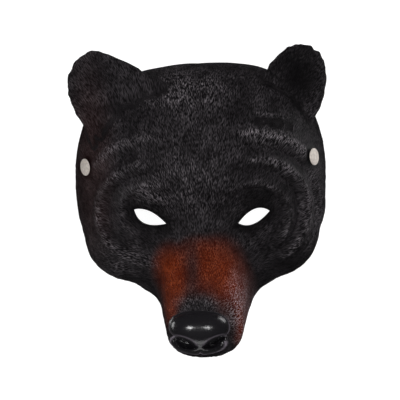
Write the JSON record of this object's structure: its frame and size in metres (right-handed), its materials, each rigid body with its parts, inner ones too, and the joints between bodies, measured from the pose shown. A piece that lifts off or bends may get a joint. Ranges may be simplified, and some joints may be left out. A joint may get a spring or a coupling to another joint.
{
  "type": "bear mask",
  "caption": "Half mask of a black bear's face in moulded foam rubber, with ears, eye holes, a brown muzzle open below and a capped rivet at each temple; it rests on its flat rim.",
  "frame": {"origin": "middle of the mask's outline on the plane of its flat rim", "axes": "+X to the viewer's right across the face, +Y up the face to the crown, +Z out of the face"},
  "size_m": [0.1775, 0.197, 0.1277],
  "materials": {
    "foam": "skinned foam rubber with moulded fur, airbrushed brown on the muzzle and glossy on the nose",
    "metal": "nickel plate, satin"
  },
  "bodies": {
    "root": {"mask_shell": "foam", "rivet_cap_left": "metal", "rivet_cap_right": "metal", "rivet_post_left": "metal", "rivet_post_right": "metal"}
  },
  "joints": []
}
